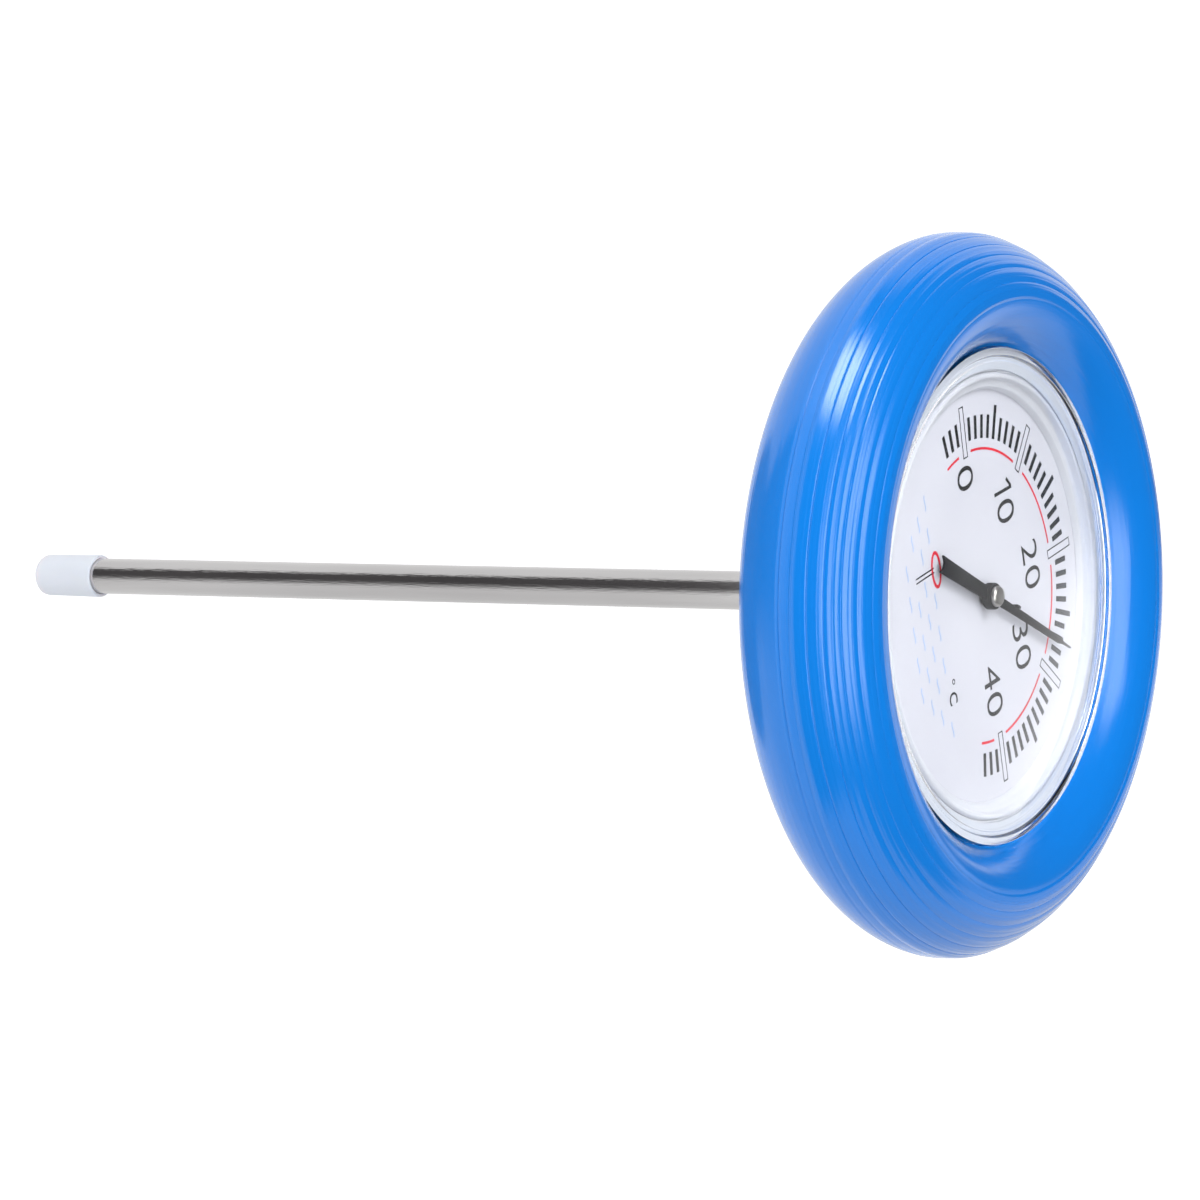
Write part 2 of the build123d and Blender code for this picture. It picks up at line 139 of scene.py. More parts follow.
def shade(name, color, roughness, vary=0.06, grain=260.0, rough_vary=0.05, bump=0.02, stretch=(1, 1, 1),
          turned=False, **sockets):
    """A Principled material with cloudy colour, uneven roughness and a fine surface grain.

    turned: the grain runs round the part's axis, as on a moulding from a turned tool.
    """
    mat = bpy.data.materials.new(name)
    mat.use_nodes = True
    nodes, links = mat.node_tree.nodes, mat.node_tree.links
    bsdf = nodes["Principled BSDF"]
    where = nodes.new("ShaderNodeTexCoord")
    place = nodes.new("ShaderNodeMapping")
    place.inputs["Scale"].default_value = stretch
    links.new(where.outputs["Object"], place.inputs["Vector"])
    if turned:
        links.new(around_axis(nodes, links, where.outputs["Object"]), place.inputs["Vector"])

    def noise(scale, detail):
        n = nodes.new("ShaderNodeTexNoise")
        n.inputs["Scale"].default_value = scale
        n.inputs["Detail"].default_value = detail
        links.new(place.outputs["Vector"], n.inputs["Vector"])
        return n.outputs["Fac"]

    cloud = nodes.new("ShaderNodeValToRGB")
    for stop, place_on_ramp, factor in zip(cloud.color_ramp.elements, CLOUD_STOPS, (1 - vary, 1 + vary)):
        stop.position = place_on_ramp
        stop.color = (*[min(1.0, c * factor) for c in color], 1)
    links.new(noise(grain / 8, 3), cloud.inputs["Fac"])
    links.new(cloud.outputs["Color"], bsdf.inputs["Base Color"])
    uneven = nodes.new("ShaderNodeMapRange")
    uneven.inputs["To Min"].default_value = max(0.02, roughness - rough_vary)
    uneven.inputs["To Max"].default_value = roughness + rough_vary
    links.new(noise(grain / 3, 4), uneven.inputs["Value"])
    links.new(uneven.outputs["Result"], bsdf.inputs["Roughness"])
    relief = nodes.new("ShaderNodeBump")
    relief.inputs["Strength"].default_value = bump
    relief.inputs["Distance"].default_value = GRAIN_DEPTH
    links.new(noise(grain * 4, 3), relief.inputs["Height"])
    links.new(relief.outputs["Normal"], bsdf.inputs["Normal"])
    for socket, value in sockets.items():
        bsdf.inputs[socket.replace("_", " ")].default_value = value
    return mat


BLUE = shade("blue_float_plastic", (0.002, 0.188, 0.665), 0.18, vary=0.08, grain=150, rough_vary=0.07,
             bump=0.3, turned=True, Coat_Weight=0.15)
WHITE = shade("white_plastic", (0.575, 0.59, 0.635), 0.32, vary=0.02, bump=0.03)
CAP_WHITE = shade("cap_white_plastic", (0.75, 0.76, 0.82), 0.38, vary=0.02, bump=0.03,
                  Subsurface_Weight=0.1)
DIAL = shade("dial_paint", (0.555, 0.56, 0.615), 0.45, vary=0.015, grain=500, bump=0.03)
INK_BLACK = shade("dial_ink_black", (0.005, 0.005, 0.006), 0.22, vary=0.3, grain=900, bump=0.03,
                  Specular_IOR_Level=0.5)
INK_RED = shade("dial_ink_red", (0.60, 0.012, 0.03), 0.6, vary=0.1, grain=900, bump=0.05,
                Specular_IOR_Level=0.1)
INK_BLUE = shade("dial_ink_pale_blue", (0.33, 0.44, 0.68), 0.5, vary=0.08, grain=900, bump=0.05)
POINTER_BLACK = shade("pointer_black", (0.009, 0.009, 0.011), 0.5, vary=0.25, grain=700, bump=0.1,
                      Specular_IOR_Level=0.1)
SILICONE = shade("pale_silicone", (0.50, 0.53, 0.59), 0.5, vary=0.02, grain=500, bump=0.05)
RUBBER = shade("seal_rubber", (0.02, 0.02, 0.022), 0.65, vary=0.2, grain=500, bump=0.15)
LENS = shade("clear_lens_plastic", (0.98, 0.99, 1.0), 0.03, vary=0.0, grain=60, rough_vary=0.01,
             bump=0.004, Transmission_Weight=1.0, IOR=1.49)
STEEL = shade("stem_polished_steel", (0.56, 0.55, 0.55), 0.12, vary=0.12, grain=900, rough_vary=0.06,
              bump=0.14, stretch=(1, 1, 0.07), Metallic=1.0)
HUB_STEEL = shade("hub_turned_steel", (0.48, 0.46, 0.43), 0.3, vary=0.12, grain=900, bump=0.1,
                  Metallic=1.0)
PLAIN_STEEL = shade("plain_steel", (0.55, 0.55, 0.55), 0.32, vary=0.08, grain=700, bump=0.05,
                    Metallic=1.0)
BRASS = shade("turned_brass", (0.76, 0.56, 0.25), 0.28, vary=0.1, grain=700, bump=0.06, Metallic=1.0)
BIMETAL = shade("bimetal_strip", (0.55, 0.50, 0.42), 0.35, vary=0.12, grain=700, bump=0.05, Metallic=1.0)
GUIDE = shade("guide_nylon", (0.75, 0.73, 0.66), 0.45, vary=0.04, bump=0.04)

NODE_MATERIALS = {
    "dial_housing": WHITE, "dial_plate": DIAL, "lens_gasket": SILICONE, "stem_seal": RUBBER,
    "pointer_shaft": PLAIN_STEEL, "stem_washer": PLAIN_STEEL, "stem_collar": BRASS, "stem_nut": BRASS,
    "upper_bush": BRASS, "coil_anchor": BRASS, "coil_coupling": BRASS, "middle_guide": GUIDE,
    "lower_guide": GUIDE, "bimetal_coil": BIMETAL,
}


def paint_nodes():
    for name, mat in NODE_MATERIALS.items():
        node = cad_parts[name]
        node.data.materials.clear()
        node.data.materials.append(mat)


# ------------------------------------------------------------------- mesh helpers
def add_piece(name, bm, mat, body, replaces=None, crease=35):
    """Turn a bmesh into a named piece that rides on a body."""
    bmesh.ops.recalc_face_normals(bm, faces=bm.faces)
    mesh = bpy.data.meshes.new(name)
    bm.to_mesh(mesh)
    bm.free()
    for face in mesh.polygons:
        face.use_smooth = True
    mesh.set_sharp_from_angle(angle=math.radians(crease))
    mesh.materials.append(mat)
    piece = bpy.data.objects.new(name, mesh)
    bpy.context.scene.collection.objects.link(piece)
    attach(piece, body)
    if replaces:
        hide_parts(replaces)
    return piece


def lathe(name, profile, mat, body, replaces=None, segments=256, crease=35):
    """Spin a closed outline of (radius, height) points about the axis.

    A point on the axis becomes a pole.
    """
    bm = bmesh.new()
    rings = []
    for r, z in profile:
        if r < 1e-9:
            rings.append([bm.verts.new((0, 0, z))])
            continue
        turns = [2 * math.pi * i / segments for i in range(segments)]
        rings.append([bm.verts.new((r * math.cos(a), r * math.sin(a), z)) for a in turns])
    for here, there in zip(rings, rings[1:] + rings[:1]):
        if len(here) == 1 and len(there) == 1:
            continue
        for i in range(segments):
            j = (i + 1) % segments
            corners = [here[i % len(here)], here[j % len(here)],
                       there[j % len(there)], there[i % len(there)]]
            bm.faces.new(list(dict.fromkeys(corners)))
    return add_piece(name, bm, mat, body, replaces, crease)


def bezier(p0, p1, p2, p3, steps):
    """Points on a cubic curve, both ends included."""
    points = []
    for i in range(steps + 1):
        t = i / steps
        w = ((1 - t) ** 3, 3 * (1 - t) ** 2 * t, 3 * (1 - t) * t * t, t**3)
        mixed = [sum(k * p[axis] for k, p in zip(w, (p0, p1, p2, p3))) for axis in (0, 1)]
        points.append(tuple(mixed))
    return points


def rounded(points, radius, steps=4):
    """Round every corner of a closed outline, as far as its sides allow."""
    result = []
    count = len(points)
    for i, here in enumerate(points):
        here = Vector(here)
        before, after = Vector(points[i - 1]), Vector(points[(i + 1) % count])
        if here.x < 1e-9:
            result.append(tuple(here))
            continue
        reach = min(radius, 0.45 * (before - here).length, 0.45 * (after - here).length)
        a = here + (before - here).normalized() * reach
        b = here + (after - here).normalized() * reach
        for k in range(steps + 1):
            t = k / steps
            result.append(tuple((1 - t) ** 2 * a + 2 * (1 - t) * t * here + t * t * b))
    return result


# --------------------------------------------------------------------- float ring
def quarter(side, level, steps=48):
    """A quarter of the float's section, from its equator to its crest or keel."""
    a, b = side * TUBE_A, level * TUBE_B
    return bezier((TUBE_R + a, MID), (TUBE_R + a, MID + ROUNDNESS * b),
                  (TUBE_R + ROUNDNESS * a, MID + b), (TUBE_R, MID + b), steps)


def along(points):
    """Fraction of the whole length at each point of a line."""
    reach = [0.0]
    for p, q in zip(points, points[1:]):
        reach.append(reach[-1] + math.dist(p, q))
    return [d / reach[-1] for d in reach]


WAVES = (3.1, 0.3), (2.05, 1.7), (1.27, 4.1), (0.83, 2.9), (0.57, 5.3)  # length in mm, phase
WAVE_SHARE = 0.0072  # height over length


def waviness(d):
    """Slight unevenness of the moulded surface along its section, at a distance in millimetres."""
    return MM * sum(WAVE_SHARE * length * math.sin(2 * math.pi * d / length + phase)
                    for length, phase in WAVES)


def ribbed_quarter():
    """The outer upper quarter with its rounded ridges, which meet in narrow grooves."""
    base = quarter(1, 1, steps=240)
    out = []
    for i, (point, u) in enumerate(zip(base, along(base))):
        a, b = base[max(i - 1, 0)], base[min(i + 1, len(base) - 1)]
        length = math.dist(a, b)
        normal = ((b[1] - a[1]) / length, -(b[0] - a[0]) / length)
        place = (u - RIB_START) / (1 - RIB_START) * RIB_COUNT
        lift = 0.0
        if place > 0:
            lift = RIB_HEIGHT * (1 - abs(2 * (place % 1) - 1) ** RIB_POWER) ** (1 / RIB_POWER)
        lift += waviness(u * QUARTER_MM) * min(1, 8 * u)
        out.append((point[0] + normal[0] * lift, point[1] + normal[1] * lift))
    return out


def make_float():
    """Both halves of the blue ring, with a fine V groove where they are welded."""
    ribs = ribbed_quarter()
    crest = ribs[-1]
    slope = bezier(crest, (TUBE_R - CREST_HANDLE, crest[1]),
                   (SEAT_R + SEAT_HANDLE[0], SEAT_TOP + SEAT_HANDLE[1]), (SEAT_R, SEAT_TOP), 40)
    lip = rounded([slope[-2], (SEAT_R, SEAT_TOP), (SEAT_R, SEAT_FLOOR)], LIP_ROUND)[5:10]
    upper = [(FLOAT_R - SEAM, MID)] + ribs[1:] + slope[1:-1] + lip
    upper += [(SEAT_R, SEAT_FLOOR), (BORE_R, SEAT_FLOOR), (BORE_R, MID)]
    lathe("float_ring_upper", upper, BLUE, ROOT, "float_upper_shell", crease=50)

    outside = quarter(1, -1)
    inside = quarter(-1, -1)[::-1]
    inside = [p for p in inside if p[0] > BORE_R]
    foot = inside[-1][1]
    bore = [(BORE_R, foot + 0.4 * MM), (BORE_R, MID)]
    lower = [(FLOAT_R - SEAM, MID)] + outside[1:] + inside[1:] + bore
    lathe("float_ring_lower", lower, BLUE, ROOT, "float_lower_shell", crease=50)


# ------------------------------------------------------------- lens and dial parts
def make_lens():
    """Clear cover: shallow dome outside, a groove and a raised rim round it, hollowed inside."""
    dome, hollow, groove_r, rim_r = 1.5 * MM, 2.0 * MM, 49.3 * MM, FLANGE_R - 1.6 * MM
    groove_z, rim_z = LENS_TOP - 1.8 * MM, LENS_TOP - 1.3 * MM
    ceiling, foot_r = LENS_BOTTOM + hollow, FLANGE_R - 0.4 * MM

    def bowl(radius, top, drop, power, steps=24):
        return [(radius * i / steps, top - drop * (i / steps) ** power) for i in range(steps + 1)]

    outer = bowl(groove_r - 0.4 * MM, LENS_TOP, dome, 2)
    inner = bowl(foot_r, ceiling, hollow, 4)
    rim = rounded(
        [outer[-2], outer[-1], (groove_r, groove_z), (rim_r - 0.3 * MM, groove_z), (rim_r, rim_z),
         (FLANGE_R, rim_z), (FLANGE_R, LENS_BOTTOM), inner[-1]], 0.3 * MM)[5:-5]
    outline = outer[:-1] + rim + inner[::-1]
    lens = lathe("clear_lens", outline, LENS, ROOT, "lens", crease=50)
    lens.visible_shadow = False


def make_retaining_ring():
    """White stepped ring under the lens."""
    outer, top = 46.8 * MM, MID + 7.3 * MM
    steps = [(43.2 * MM, DIAL_Z), (outer, DIAL_Z), (outer, MID + 6.6 * MM), (outer - 0.5 * MM, top),
             (45.6 * MM, top), (45.2 * MM, MID + 6.0 * MM), (43.8 * MM, MID + 5.7 * MM)]
    lathe("retaining_ring", rounded(steps, 0.25 * MM), WHITE, ROOT,
          "dial_retaining_ring")


# -------------------------------------------------------------------- dial printing
# Lengths here are in millimetres, except the ink's thickness and the shift of the font's outline.
INK_T = 0.03 * MM
TICK_W = 1.15
TICK_R = 33.0, 38.0, 40.3  # inner end, outer end, outer end of every fifth
BOX_R = 29.8, 40.9  # ends of the boxes at the decades
BOX_HALF = 1.0
BOX_LINE = 0.26
ARC_R, ARC_W = 30.8, 0.55
FIRST, LAST = -3, 43  # degrees C
FONT_HEIGHT = 0.73  # height of a figure at font size 1
BOLDER, THINNER = 0.00006, -0.00008  # shift of the outline, small print and figures, in metres

# text, x, y, height, width factor, spacing
FIGURES = [
    ("0", -25.8, -1.2, 7.3, 1.2, 1.0), ("0", -14.3, 14.1, 7.8, 1.06, 1.0),
    ("20", -0.3, 21.9, 7.3, 1.09, 1.02), ("30", 14.9, 13.7, 7.3, 1.14, 1.02),
    ("40", 20.4, -0.7, 7.3, 1.14, 1.02), ("C", 16.7, -17.7, 3.5, 0.85, 1.0),
]
# the figure 1 of the 10, drawn as two strokes
ONE_STEM = (-18.7, 10.2), (-18.7, 17.9)
ONE_FLAG = (-18.9, 17.6), (-20.9, 16.0)
ONE_W = 0.75

# the small picture of a float on the water: ring, stem and rows of dashes
PICTURE_X, PICTURE_Y = -11.1, -18.0
DEGREE_X, DEGREE_Y = 13.4, -16.7
STEM_X = -11.3
UNIT_X = 16.0  # middle of the degree sign and its C
# y, first x, pitch, count
DASH_ROWS = [
    (-19.8, -25.8, 6.95, 8), (-23.5, -22.3, 6.9, 7),
    (-27.1, -19.3, 7.0, 6), (-30.8, -14.0, 6.5, 5),
]
DASH_L, DASH_W, DASH_SAG = 3.4, 0.42, 0.16


def print_on_dial(name, shapes, mat):
    """Thin raised ink: each shape is a 2D outline in millimetres from the dial's centre."""
    bm = bmesh.new()
    for outline in shapes:
        low = [bm.verts.new((x * MM, y * MM, DIAL_Z - INK_T / 2)) for x, y in outline]
        high = [bm.verts.new((x * MM, y * MM, DIAL_Z + INK_T)) for x, y in outline]
        bm.faces.new(low[::-1])
        bm.faces.new(high)
        for i in range(len(outline)):
            j = (i + 1) % len(outline)
            bm.faces.new((low[i], low[j], high[j], high[i]))
    return add_piece(name, bm, mat, ROOT, crease=30)


def polar(radius, temperature, aside=0.0):
    """Place on the dial at a radius and a temperature, moved aside across the radius, in millimetres."""
    a = math.radians(90 - (temperature - 20) * PITCH)
    return radius * math.cos(a) + aside * math.sin(a), radius * math.sin(a) - aside * math.cos(a)


def bar(r0, r1, temperature, left, right):
    """A radial bar between two radii, its sides at two distances from the radius."""
    return [polar(r, temperature, s) for r, s in ((r0, left), (r1, left), (r1, right), (r0, right))]


def stroke(points, width, closed=False):
    """Quads that follow a line at a constant width."""
    pts = [Vector(p) for p in points]
    count = len(pts)
    sides = []
    for i, p in enumerate(pts):
        before = pts[i - 1] if closed or i > 0 else p
        after = pts[(i + 1) % count] if closed or i < count - 1 else p
        ahead = (after - before).normalized()
        across = Vector((-ahead.y, ahead.x)) * width / 2
        sides.append((p - across, p + across))
    pairs = list(zip(sides, sides[1:] + (sides[:1] if closed else [])))
    return [[tuple(a[0]), tuple(b[0]), tuple(b[1]), tuple(a[1])] for a, b in pairs]


def numeral(text, x, y, height, width, spacing):
    """Outlines of upright figures centred on a place of the dial, as a mesh."""
    curve = bpy.data.curves.new("numeral", "FONT")
    curve.body = text
    curve.size = height * MM / FONT_HEIGHT
    curve.offset = THINNER if height > 5 else BOLDER
    curve.space_character = spacing
    curve.extrude = INK_T / 2
    curve.resolution_u = 8
    holder = bpy.data.objects.new("numeral", curve)
    bpy.context.scene.collection.objects.link(holder)
    bpy.context.view_layer.update()
    mesh = bpy.data.meshes.new_from_object(holder)
    mesh.transform(Matrix.Diagonal((width, 1, 1, 1)))
    bpy.data.objects.remove(holder)
    xs, ys = [v.co.x for v in mesh.vertices], [v.co.y for v in mesh.vertices]
    middle = (min(xs) + max(xs)) / 2, (min(ys) + max(ys)) / 2
    mesh.transform(Matrix.Translation((x * MM - middle[0], y * MM - middle[1], DIAL_Z + INK_T / 2)))
    return mesh


def oval(x, y, half_x, half_y, count=48):
    """Points round an ellipse."""
    turns = [2 * math.pi * i / count for i in range(count)]
    return [(x + half_x * math.cos(a), y + half_y * math.sin(a)) for a in turns]


def print_scale():
    """Ticks, open boxes at the decades and the red arc between them."""
    ticks, boxes, arcs = [], [], []
    inner, outer = BOX_R
    for t in range(FIRST, LAST + 1):
        if t % 10 == 0:
            boxes.append(bar(inner, outer, t, -BOX_HALF, -BOX_HALF + BOX_LINE))
            boxes.append(bar(inner, outer, t, BOX_HALF - BOX_LINE, BOX_HALF))
            for low in (inner, outer - BOX_LINE):
                boxes.append(bar(low, low + BOX_LINE, t, -BOX_HALF + BOX_LINE, BOX_HALF - BOX_LINE))
        else:
            end = TICK_R[2] if t % 5 == 0 else TICK_R[1]
            ticks.append(bar(TICK_R[0], end, t, -TICK_W / 2, TICK_W / 2))
    stops = [FIRST - 0.5, -1.2]
    for decade in range(0, 40, 10):
        stops += [decade + 1, decade + 9]
    stops += [41.2, LAST + 0.5]
    for a, b in zip(stops[::2], stops[1::2]):
        steps = max(2, int((b - a) * 3))
        arcs += stroke([polar(ARC_R, a + (b - a) * i / steps) for i in range(steps + 1)], ARC_W)
    print_on_dial("scale_ticks", ticks, INK_BLACK)
    print_on_dial("scale_decade_boxes", boxes, INK_BLACK)
    print_on_dial("scale_red_arc", arcs, INK_RED)


def print_figures():
    """The scale's numbers and its unit."""
    bm = bmesh.new()
    for text, x, y, height, width, spacing in FIGURES:
        bm.from_mesh(numeral(text, x, y, height, width, spacing))
    add_piece("scale_numerals", bm, INK_BLACK, ROOT, crease=30)
    print_on_dial("scale_numeral_one", stroke(ONE_STEM, ONE_W) + stroke(ONE_FLAG, ONE_W), INK_BLACK)
    degree = stroke(oval(DEGREE_X, DEGREE_Y, 0.5, 0.5, 12), 0.26, closed=True)
    print_on_dial("degree_mark", degree, INK_BLACK)


def print_picture():
    """A small float on the water, with dashes for the waves."""
    ring = oval(PICTURE_X, PICTURE_Y, 3.6, 1.8)
    print_on_dial("pictogram_ring", stroke(ring, 0.75, closed=True), INK_RED)
    lines = [stroke([(STEM_X + s, -19.0), (STEM_X + s, -27.3)], 0.3)[0] for s in (-0.45, 0.45)]
    print_on_dial("pictogram_stem", lines, INK_BLACK)
    dashes = []
    for y, start, pitch, count in DASH_ROWS:
        for i in range(count):
            x = start + pitch * i
            beside_mark = abs(x - PICTURE_X) < 5 or abs(x - UNIT_X) < 3
            if (y > -20 and beside_mark) or abs(x - STEM_X) < 1.9:
                continue
            shares = [k / 8 for k in range(9)]
            wave = [(x + DASH_L * (f - 0.5), y - DASH_SAG * math.sin(2 * math.pi * f)) for f in shares]
            dashes += stroke(wave, DASH_W)
    print_on_dial("water_dashes", dashes, INK_BLUE)


# -------------------------------------------------------------------------- pointer
def make_pointer():
    """Flat black blade with a crescent tail and a fine tip, and its raised hub."""
    turn = math.radians(90 - (READING - 20) * PITCH)
    blade_z, blade_t = MID + 5.9 * MM, 0.5 * MM
    tail_r, bite = 22.8, 1.65
    edge = [(-tail_r, 1.85), (-1.5, 1.4), (1.5, 1.0), (32.5, 0.7), (34.9, 0.26), (38.5, 0.14)]
    spread = math.acos(0.6 / bite)
    notch = []
    for i in range(17):
        a = -spread + 2 * spread * i / 16
        notch.append((-tail_r - 0.6 + bite * math.cos(a), bite * math.sin(a)))
    outline = edge + [(x, -y) for x, y in reversed(edge)] + notch
    bm = bmesh.new()
    spin = Matrix.Rotation(turn, 4, "Z")
    verts = [bm.verts.new(spin @ Vector((x * MM, y * MM, blade_z))) for x, y in outline]
    blade = bm.faces.new(verts)
    grown = bmesh.ops.extrude_face_region(bm, geom=[blade])
    top = [v for v in grown["geom"] if isinstance(v, bmesh.types.BMVert)]
    bmesh.ops.translate(bm, verts=top, vec=(0, 0, blade_t))
    edges = [e for e in bm.edges if all(v in set(top) for v in e.verts)]
    bmesh.ops.bevel(bm, geom=edges, offset=0.08 * MM, segments=2, affect="EDGES")
    lug = bmesh.ops.create_cube(bm, size=1.0)["verts"]
    lug_place = Matrix.Translation((10.8 * MM, 1.0 * MM, blade_z + 0.55 * MM))
    place = spin @ lug_place @ Matrix.Diagonal((1.5 * MM, 0.5 * MM, 1.1 * MM, 1))
    bmesh.ops.transform(bm, matrix=place, verts=lug)
    add_piece("pointer_blade", bm, POINTER_BLACK, MOVING, "pointer")
    boss_r, rivet_r, sunk = 2.8 * MM, 2.2 * MM, 0.4 * MM
    boss_z = MID + 5.2 * MM
    boss = [(0.0, boss_z), (boss_r, boss_z), (boss_r, HUB_TOP), (0.0, HUB_TOP)]
    lathe("pointer_boss", rounded(boss, 0.35 * MM), POINTER_BLACK, MOVING, segments=64)
    rivet = [(0.0, HUB_TOP - sunk), (rivet_r, HUB_TOP - sunk), (rivet_r, RIVET_TOP - sunk),
             (1.8 * MM, RIVET_TOP), (0.0, RIVET_TOP)]
    lathe("pointer_rivet", rounded(rivet, 0.08 * MM), HUB_STEEL, MOVING, "pointer_hub",
          segments=64)


# ----------------------------------------------------------------------------- stem
def make_stem():
    """Polished tube and its white cap, whose end is domed."""
    bore = STEM_R - TUBE_WALL
    tube = [(bore, STEM_BOTTOM), (STEM_R, STEM_BOTTOM), (STEM_R, STEM_TOP), (bore, STEM_TOP)]
    lathe("stem_tube_polished", rounded(tube, 0.1 * MM), STEEL, ROOT, "stem_tube",
          segments=96)
    nose_r = CAP_R - 0.12 * MM
    nose = bezier((0.0, CAP_BOTTOM), (nose_r * 0.8, CAP_BOTTOM), (nose_r, CAP_BOTTOM + 0.5 * MM),
                  (nose_r, CAP_BOTTOM + 2.4 * MM), 16)
    mouth = [nose[-1], (CAP_R, CAP_TOP), (STEM_R, CAP_TOP), (STEM_R, STEM_BOTTOM)]
    mouth = rounded(mouth, 0.25 * MM)[5:15]
    profile = nose + mouth + [(STEM_R, STEM_BOTTOM), (0.0, STEM_BOTTOM)]
    lathe("stem_end_cap", profile, CAP_WHITE, ROOT, "end_cap", segments=96)


# ------------------------------------------------------------------ stage and camera
def make_stage():
    """Plain pale floor, far enough below that the hanging stem throws no shadow near it."""
    bm = bmesh.new()
    bmesh.ops.create_grid(bm, x_segments=1, y_segments=1, size=4.0)
    mesh = bpy.data.meshes.new("floor")
    bm.to_mesh(mesh)
    bm.free()
    mesh.materials.append(shade("floor_pale", (0.90, 0.90, 0.90), 0.8, vary=0.005, grain=20, bump=0.0,
                                Emission_Color=(1, 1, 1, 1), Emission_Strength=0.62))
    floor = bpy.data.objects.new("floor", mesh)
    floor.location.z = CAD_BOX[0][2] - 0.35
    bpy.context.scene.collection.objects.link(floor)

    world = bpy.data.worlds.new("studio")
    bpy.context.scene.world = world
    world.use_nodes = True
    nodes, links = world.node_tree.nodes, world.node_tree.links
    nodes["Background"].inputs["Color"].default_value = (0.97, 0.98, 1.0, 1)
    path = nodes.new("ShaderNodeLightPath")
    level = nodes.new("ShaderNodeMapRange")
    level.inputs["To Min"].default_value = AMBIENT
    level.inputs["To Max"].default_value = DARK_ROOM
    bounced = nodes.new("ShaderNodeMath")
    bounced.operation = "MAXIMUM"
    links.new(path.outputs["Is Glossy Ray"], bounced.inputs[0])
    links.new(path.outputs["Is Transmission Ray"], bounced.inputs[1])
    links.new(bounced.outputs["Value"], level.inputs["Value"])
    links.new(level.outputs["Result"], nodes["Background"].inputs["Strength"])


def softbox(name, location, target, size, power):
    """A rectangular light aimed at a point."""
    light = bpy.data.lights.new(name, "AREA")
    light.shape = "RECTANGLE"
    light.size, light.size_y = size
    light.energy = power
    lamp = bpy.data.objects.new(name, light)
    lamp.location = location
    lamp.rotation_euler = (Vector(target) - Vector(location)).to_track_quat("-Z", "Y").to_euler()
    bpy.context.scene.collection.objects.link(lamp)
    return lamp


def panel(name, angles, heights, radius, level, sides=(0.1, 0.1), ends=(0.0, 0.1), tint=(1, 1, 1)):
    """A curved reflector: a patch of a sphere round the float, its edges faded.

    It shows only in reflections and through the lens.
    angles: its two sides, in degrees off the camera's azimuth; heights: its two ends, in degrees
    above the horizon; sides and ends: the faded share of its breadth and height at each edge.
    """
    steps = 48
    bm = bmesh.new()
    fade = bm.verts.layers.float.new("fade")

    def edge(u, widths):
        reach = min(1.0, u / max(widths[0], 1e-6), (1 - u) / max(widths[1], 1e-6))
        return reach * reach * (3 - 2 * reach)

    grid = []
    for i in range(steps + 1):
        turn = math.radians(AZIMUTH + angles[0] + (angles[1] - angles[0]) * i / steps)
        grid.append([])
        for k in range(steps + 1):
            rise = math.radians(heights[0] + (heights[1] - heights[0]) * k / steps)
            flat = radius * math.cos(rise)
            vert = bm.verts.new((flat * math.sin(turn), -flat * math.cos(turn), radius * math.sin(rise)))
            across = edge(i / steps, sides) if sides else 1.0
            hard_end = (k == 0 and ends[0] == 0) or (k == steps and ends[1] == 0)
            vert[fade] = across * (1.0 if hard_end else edge(k / steps, ends))
            grid[-1].append(vert)
    for here, there in zip(grid, grid[1:]):
        for k in range(steps):
            bm.faces.new((here[k], there[k], there[k + 1], here[k + 1]))
    mesh = bpy.data.meshes.new(name)
    bm.to_mesh(mesh)
    bm.free()
    mat = bpy.data.materials.new(name)
    mat.use_nodes = True
    nodes, links = mat.node_tree.nodes, mat.node_tree.links
    nodes.remove(nodes["Principled BSDF"])
    cover = nodes.new("ShaderNodeAttribute")
    cover.attribute_name = "fade"
    glow = nodes.new("ShaderNodeEmission")
    glow.inputs["Color"].default_value = (*tint, 1)
    glow.inputs["Strength"].default_value = level
    mix = nodes.new("ShaderNodeMixShader")
    links.new(cover.outputs["Fac"], mix.inputs["Fac"])
    links.new(nodes.new("ShaderNodeBsdfTransparent").outputs["BSDF"], mix.inputs[1])
    links.new(glow.outputs["Emission"], mix.inputs[2])
    links.new(mix.outputs["Shader"], nodes["Material Output"].inputs["Surface"])
    mesh.materials.append(mat)
    card = bpy.data.objects.new(name, mesh)
    card.visible_camera = card.visible_diffuse = card.visible_shadow = False
    bpy.context.scene.collection.objects.link(card)


AMBIENT, DARK_ROOM = 0.3, 0.07  # the room's level, direct and as reflections see it
AZIMUTH, ELEVATION, ROLL = -17.8, 32.6, 91.4  # degrees
DISTANCE, ASIDE, DOWN = 12.36, -0.996, -0.0125  # in float radii
FOCAL = 3.7341667  # focal length over the sensor's width


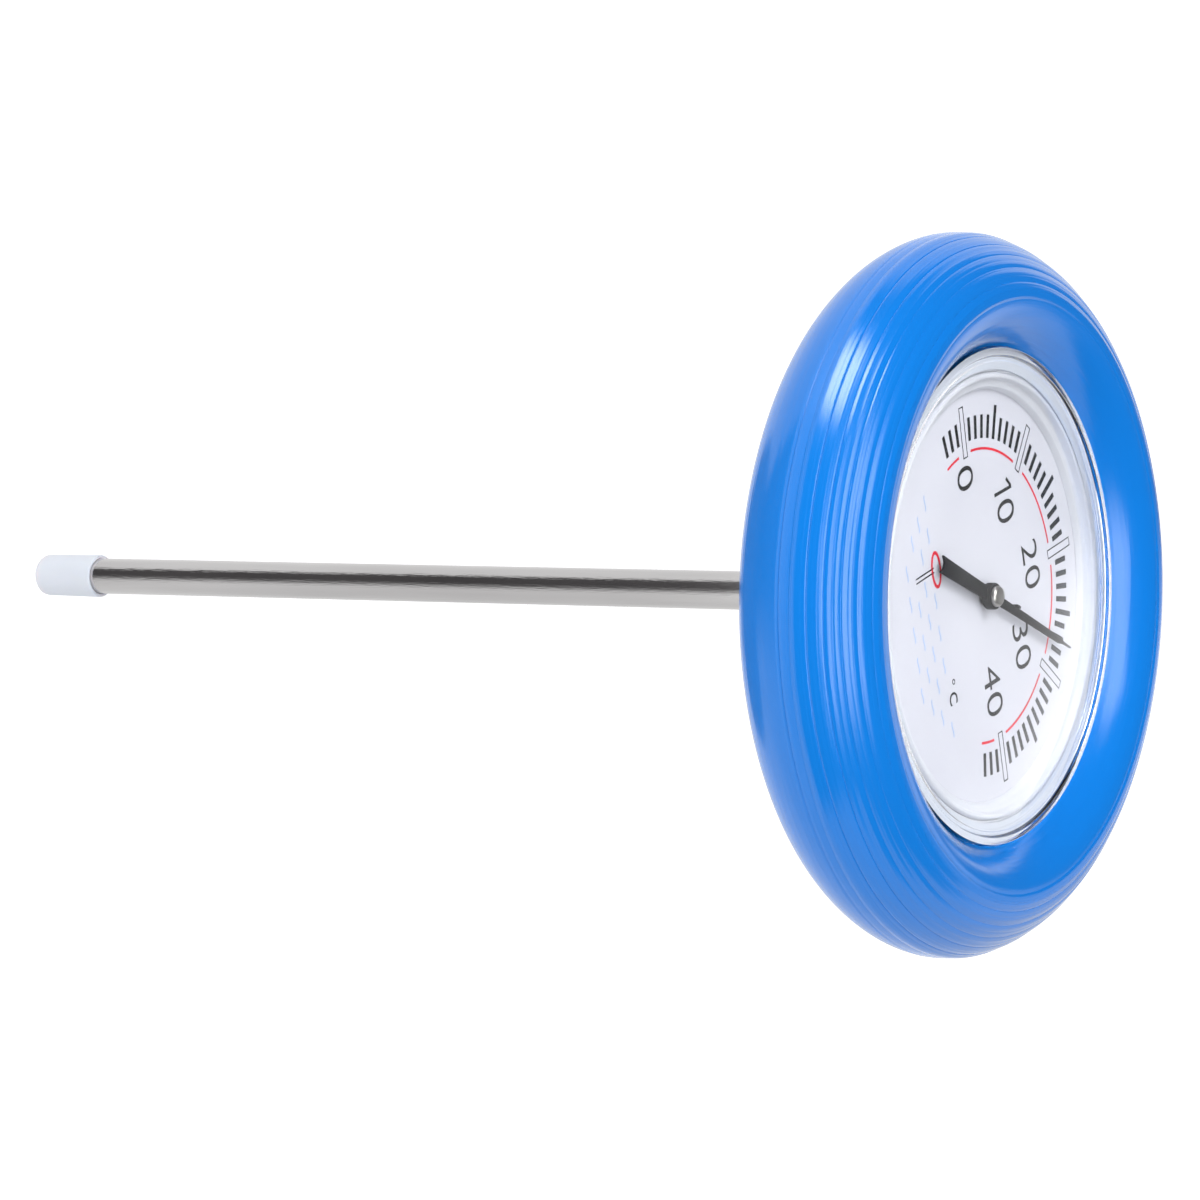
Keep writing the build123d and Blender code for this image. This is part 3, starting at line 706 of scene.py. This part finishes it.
def make_camera():
    """A long lens turned on its side, so that the stem lies level and points left."""
    a, e, roll = (math.radians(x) for x in (AZIMUTH, ELEVATION, ROLL))
    back = Vector((math.sin(a) * math.cos(e), -math.cos(a) * math.cos(e), math.sin(e)))
    right = Vector((0, 0, 1)).cross(back).normalized()
    up = back.cross(right)
    across = right * math.cos(roll) + up * math.sin(roll)
    upward = up * math.cos(roll) - right * math.sin(roll)
    camera = bpy.data.cameras.new("camera")
    camera.sensor_width = 36.0
    camera.lens = FOCAL * camera.sensor_width
    camera.clip_start = 0.01
    view = bpy.data.objects.new("camera", camera)
    place = (back * DISTANCE + across * ASIDE + upward * DOWN) * FLOAT_R + Vector((0, 0, MID))
    turn = Matrix((across, upward, back)).transposed().to_4x4()
    view.matrix_world = Matrix.Translation(place) @ turn
    bpy.context.scene.collection.objects.link(view)
    bpy.context.scene.camera = view


paint_nodes()
make_float()
make_lens()
make_retaining_ring()
print_scale()
print_figures()
print_picture()
make_pointer()
make_stem()
make_stage()
softbox("key", (-0.30, -0.90, 1.31), (0, 0, 0), (2.6, 0.75), 24).visible_glossy = False
softbox("side", (-1.066, -0.10, 1.19), (0, 0, 0), (0.5, 0.45), 9).visible_glossy = False
panel("hot_card", (276, 312), (-14, 32), 1.5, 11.5, sides=(0.35, 0.35), ends=(0.3, 0.3))
panel("key_card", (-82, 72), (40, 70), 1.6, 4.2, sides=(0.2, 0.3), ends=(0.2, 0.25))
panel("under_card", (0, 360), (-89.9, -66), 0.46, 0.15, sides=None, ends=(0.0, 0.1))
panel("pale_card", (0, 360), (-68, -26), 0.47, 0.92, sides=None, ends=(0.0, 0.15))
panel("dark_card", (-57, 34), (-70, -26), 0.45, 0.09, sides=(0.09, 0.45), ends=(0.0, 0.1),
      tint=(1.0, 0.95, 0.98))
panel("sweep_right", (60, 176), (-22, 36), 1.5, 0.95, sides=(0.1, 0.14))
panel("far_card", (160, 183.6), (-22, 32), 1.52, 1.3, sides=(0.6, 0.2), ends=(0.0, 0.2))
panel("sweep_left", (184, 265), (-22, 14), 1.5, 1.0, sides=(0.03, 0.2), ends=(0.0, 0.2))
make_camera()
bpy.context.scene.view_settings.view_transform = "Standard"
